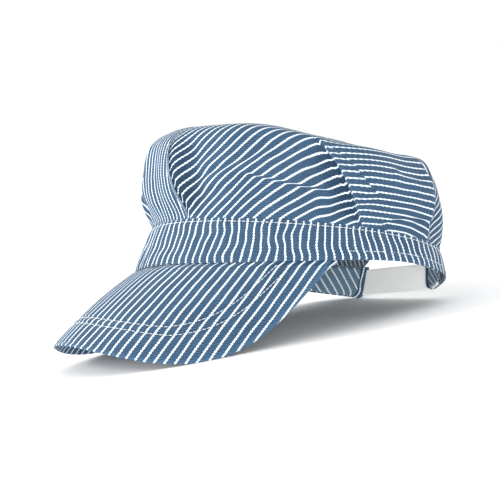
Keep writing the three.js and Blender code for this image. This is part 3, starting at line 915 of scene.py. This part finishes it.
elastic = bpy.data.materials.new("white_elastic")
tree, make, calc, blend = node_maker(elastic)
place = make("UVMap", uv_map="cloth").outputs[0]
_, along, _ = make("SeparateXYZ", place).outputs
rib = calc("MULTIPLY_ADD", calc("SINE", calc("MULTIPLY", along, 9.0)), 0.5, 0.5)
knit_place = make("Mapping", place, None, None, (3.0, 1.4, 1.0)).outputs[0]
knit = make("TexNoise", knit_place, None, 1.0, 2.0).outputs[0]
grime = make("TexNoise", place, None, 0.08, 3.0).outputs[0]
colour = blend(calc("MULTIPLY", knit, 0.45), (0.96, 0.98, 0.945), (0.80, 0.83, 0.79))
colour = blend(calc("MULTIPLY", grime, 0.18), colour, (0.55, 0.58, 0.54))
shader = tree.nodes["Principled BSDF"]
tree.links.new(colour, shader.inputs["Base Color"])
shader.inputs["Roughness"].default_value = 0.78
shader.inputs["Specular IOR Level"].default_value = 0.3
shader.inputs["Sheen Weight"].default_value = 0.12
shader.inputs["Subsurface Weight"].default_value = 0.6
shader.inputs["Subsurface Radius"].default_value = (1.0, 1.0, 1.0)
shader.inputs["Subsurface Scale"].default_value = 0.003
bump = make("Bump", 0.3, 0.0002)
tree.links.new(calc("ADD", rib, calc("MULTIPLY", knit, 0.6)), bump.inputs["Height"])
tree.links.new(bump.outputs[0], shader.inputs["Normal"])

tucked = back_angle(LOWER, ARCH_HALF + STRAP_TUCKED)
depth = 1.5 + (1.4 - STRAP_THICKNESS) / 2
rise = np.concatenate([[0.0, 0.12, 0.4], np.linspace(0.9, STRAP_HEIGHT - 0.9, 14),
                       [STRAP_HEIGHT - 0.4, STRAP_HEIGHT - 0.12, STRAP_HEIGHT]])
in_band = np.linspace(tucked, BAND_END, 14)
open_run = np.linspace(1.0, 0.0, 36)[1:]
half_line = []
for up in rise:
    share = (STRAP_ABOVE_EDGE + up) / band_height(in_band)
    row = band_point(in_band, share, np.full(len(in_band), depth))
    across_gap = np.repeat(row[-1:], len(open_run), 0)
    across_gap[:, 0] *= open_run
    across_gap[:, 1] -= STRAP_SAG * (1 - open_run ** 2)
    half_line.append(np.concatenate([row, across_gap]))
half_line = np.array(half_line).transpose(1, 0, 2)
other = half_line[:-1][::-1] * [-1.0, 1.0, 1.0]
middle_face = np.concatenate([half_line, other])
middle_face[..., 2] -= STRAP_SLANT * np.clip(middle_face[..., 0] / ARCH_HALF, -1.0, 1.0)
along_step = np.gradient(middle_face, axis=0)
up_step = np.gradient(middle_face, axis=1)
normal = unit(np.cross(along_step, up_step))
edge = np.minimum(rise, STRAP_HEIGHT - rise)
round_in = rounded(edge, STRAP_THICKNESS / 2)[None, :, None]
outer = middle_face - normal * round_in
inner = middle_face - normal * (STRAP_THICKNESS - round_in * INNER_ROUND)
section = np.concatenate([outer, inner[:, ::-1]], 1)
arc = run_along(middle_face[:, 0])
cloth = np.stack(np.broadcast_arrays(arc[:, None], np.concatenate([rise, rise[::-1]])[None, :]), -1)
strap = cloth_piece("cap_strap", section.reshape(-1, 3), strip_faces(len(section), section.shape[1]),
                    cloth.reshape(-1, 2), [elastic])
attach(strap, "root")
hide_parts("strap")


# The stitching: off-white cotton thread in even lockstitches, each a short
# rounded stitch half sunk in the cloth, along the band's edges and the visor.
STITCH_LENGTH, STITCH_STEP, THREAD = 2.3, 2.6, 0.42

thread = bpy.data.materials.new("cotton_thread")
tree, make, calc, blend = node_maker(thread)
place = make("TexCoord").outputs["Object"]
fuzz = make("TexNoise", place, None, 2500.0, 2.0).outputs[0]
colour = blend(fuzz, (0.70, 0.76, 0.79), (0.50, 0.56, 0.60))
shader = tree.nodes["Principled BSDF"]
tree.links.new(colour, shader.inputs["Base Color"])
shader.inputs["Roughness"].default_value = 0.7
shader.inputs["Sheen Weight"].default_value = 0.2
bump = make("Bump", 0.4, 0.0001)
tree.links.new(fuzz, bump.inputs["Height"])
tree.links.new(bump.outputs[0], shader.inputs["Normal"])


def stitch_tree():
    group = bpy.data.node_groups.new("lockstitch_row", "GeometryNodeTree")
    face = group.interface
    face.new_socket("Geometry", in_out="INPUT", socket_type="NodeSocketGeometry")
    for title, value in (("Step", STITCH_STEP), ("Length", STITCH_LENGTH), ("Thread", THREAD)):
        socket = face.new_socket(title, in_out="INPUT", socket_type="NodeSocketFloat")
        socket.default_value = value * 0.001
    socket = face.new_socket("Finish", in_out="INPUT", socket_type="NodeSocketMaterial")
    face.new_socket("Geometry", in_out="OUTPUT", socket_type="NodeSocketGeometry")
    nodes, links = group.nodes, group.links
    source = nodes.new("NodeGroupInput")
    result = nodes.new("NodeGroupOutput")
    curve = nodes.new("GeometryNodeMeshToCurve")
    spaced = nodes.new("GeometryNodeResampleCurve")
    spaced.mode = "LENGTH"
    ball = nodes.new("GeometryNodeMeshUVSphere")
    ball.inputs["Segments"].default_value = 8
    ball.inputs["Rings"].default_value = 6
    ball.inputs["Radius"].default_value = 0.5
    size = nodes.new("ShaderNodeCombineXYZ")
    tangent = nodes.new("GeometryNodeInputTangent")
    align = nodes.new("FunctionNodeAlignRotationToVector")
    align.axis = "Z"
    place = nodes.new("GeometryNodeInstanceOnPoints")
    real = nodes.new("GeometryNodeRealizeInstances")
    soft = nodes.new("GeometryNodeSetShadeSmooth")
    finish = nodes.new("GeometryNodeSetMaterial")
    links.new(source.outputs["Geometry"], curve.inputs[0])
    links.new(curve.outputs[0], spaced.inputs["Curve"])
    links.new(source.outputs["Step"], spaced.inputs["Length"])
    links.new(source.outputs["Thread"], size.inputs[0])
    links.new(source.outputs["Thread"], size.inputs[1])
    links.new(source.outputs["Length"], size.inputs[2])
    links.new(tangent.outputs[0], align.inputs["Vector"])
    links.new(spaced.outputs[0], place.inputs["Points"])
    links.new(ball.outputs["Mesh"], place.inputs["Instance"])
    links.new(align.outputs[0], place.inputs["Rotation"])
    links.new(size.outputs[0], place.inputs["Scale"])
    links.new(place.outputs[0], real.inputs[0])
    links.new(real.outputs[0], soft.inputs[0])
    links.new(soft.outputs[0], finish.inputs["Geometry"])
    links.new(source.outputs["Finish"], finish.inputs["Material"])
    links.new(finish.outputs[0], result.inputs[0])
    return group


lockstitch = stitch_tree()


def sew(name, lines):
    """Stitches along lines of points in the cap's frame."""
    points, edges = [], []
    for line in lines:
        first = len(points)
        points += lay(line).tolist()
        edges += [(first + k, first + k + 1) for k in range(len(line) - 1)]
    mesh = bpy.data.meshes.new(name + "_line")
    mesh.from_pydata(points, edges, [])
    guide = bpy.data.objects.new(name + "_line", mesh)
    bpy.context.scene.collection.objects.link(guide)
    modifier = guide.modifiers.new("rows", "NODES")
    modifier.node_group = lockstitch
    for item in lockstitch.interface.items_tree:
        if item.name == "Finish" and item.in_out == "INPUT":
            modifier[item.identifier] = thread
    solid = bpy.data.meshes.new_from_object(guide.evaluated_get(bpy.context.evaluated_depsgraph_get()))
    bpy.data.objects.remove(guide)
    piece = bpy.data.objects.new(name, solid)
    bpy.context.scene.collection.objects.link(piece)
    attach(piece, "root")
    return piece


angles = np.linspace(-BAND_END + 1.0, BAND_END - 1.0, 500)
tall = band_height(angles)
top_line = band_point(angles, 1 - 2.0 / tall, np.full_like(angles, 0.05))
lines = [top_line]
for way in (-1, 1):
    angles = np.linspace(79.0, BAND_END - 1.0, 160) * way
    tall = band_height(angles)
    lines.append(band_point(angles, 5.2 / tall, np.full_like(angles, 0.05)))
    up_mm = np.linspace(5.2, float(tall[-1]) - 2.0, 30)
    end = round_end(np.full(30, BAND_END), up_mm) - 3.4 / END_MM
    lines.append(band_point(end * way, up_mm / tall[-1], np.full(30, 0.05)))
sew("band_stitching", lines)

side_run = np.linspace(0.07, 1.0, 90)
front_run = np.linspace(-1.0, 1.0, 320)
square_a = np.concatenate([-np.ones(90), front_run[1:-1], np.ones(90)])
square_b = np.concatenate([side_run, np.ones(318), side_run[::-1]])
lines = []
for row in VISOR_ROWS:
    reach = row - row_dip(square_a, square_b)
    at_a, at_b = square_a * reach, np.maximum(square_b * reach, 0.06)
    side, run, _ = visor_square(at_a, at_b)
    lift = visor_quilt(at_a, at_b) + 0.14
    lines.append(visor_surface(side, run) + visor_normal(side, run) * lift[:, None])
sew("visor_stitching", lines)


# The picture: a pale floor, a soft key light high on the wearer's front left
# and a camera at the photograph's angle, a little above the table.
floor_mesh = bpy.data.meshes.new("floor")
around = np.linspace(0, 2 * np.pi, 97)[:-1]
ring = [(60 * math.cos(t), 60 * math.sin(t), -0.0002) for t in around]
floor_mesh.from_pydata(ring, [], [tuple(range(96))])
floor = bpy.data.objects.new("floor", floor_mesh)
bpy.context.scene.collection.objects.link(floor)
pale = bpy.data.materials.new("pale_floor")
pale.use_nodes = True
pale.node_tree.nodes["Principled BSDF"].inputs["Base Color"].default_value = (0.93, 0.93, 0.93, 1.0)
pale.node_tree.nodes["Principled BSDF"].inputs["Roughness"].default_value = 0.9
floor_mesh.materials.append(pale)

world = bpy.data.worlds.new("studio")
world.use_nodes = True
world.node_tree.nodes["Background"].inputs[0].default_value = (1.0, 1.0, 1.0, 1.0)
world.node_tree.nodes["Background"].inputs[1].default_value = 1.08
bpy.context.scene.world = world
bpy.context.scene.view_settings.view_transform = "Standard"

VIEW = np.array([[0.5322, 0.8462, 0.0276], [0.0752, -0.0797, 0.9940], [0.8433, -0.5269, -0.1060]])
FOCAL, AIM = 2055.7, (35.83, 33.64)
PICTURE_WIDTH, SENSOR_WIDTH = 500.0, 36.0
DISTANCE = 1200.0
right, above, back = (tip(row) for row in VIEW)
origin = np.array([SHIFT[0], SHIFT[1], REST_LIFT])
eye = (origin + back * DISTANCE) * 0.001
ahead = unit(-AIM[0] / FOCAL * right + AIM[1] / FOCAL * above - back)
right = unit(np.cross(ahead, above))
above = np.cross(right, ahead)
camera = bpy.data.objects.new("camera", bpy.data.cameras.new("camera"))
camera.data.sensor_width = SENSOR_WIDTH
camera.data.sensor_fit = "HORIZONTAL"
camera.data.lens = FOCAL / PICTURE_WIDTH * SENSOR_WIDTH
camera.data.clip_end = 200.0
axes = enumerate(zip(right, above, -ahead))
camera.matrix_world = Matrix([[*row, eye[k]] for k, row in axes] + [[0, 0, 0, 1]])
bpy.context.scene.collection.objects.link(camera)
bpy.context.scene.camera = camera


def soft_light(name, place, aim, wide, tall, power):
    lamp = bpy.data.lights.new(name, "AREA")
    lamp.shape = "RECTANGLE"
    lamp.size = wide
    lamp.size_y = tall
    lamp.energy = power
    item = bpy.data.objects.new(name, lamp)
    place, aim = Vector(place), Vector(aim)
    item.rotation_euler = (aim - place).to_track_quat("-Z", "Y").to_euler()
    item.location = place
    bpy.context.scene.collection.objects.link(item)


soft_light("key", (-0.95, -1.45, 0.75), (0.0, -0.02, 0.05), 0.8, 0.8, 30.0)
soft_light("low_front", (1.45, -0.95, 0.13), (0.0, 0.05, 0.04), 0.9, 0.22, 24.0)
soft_light("back", (-0.3, 1.7, 0.35), (0.0, 0.1, 0.02), 0.8, 0.4, 8.0)
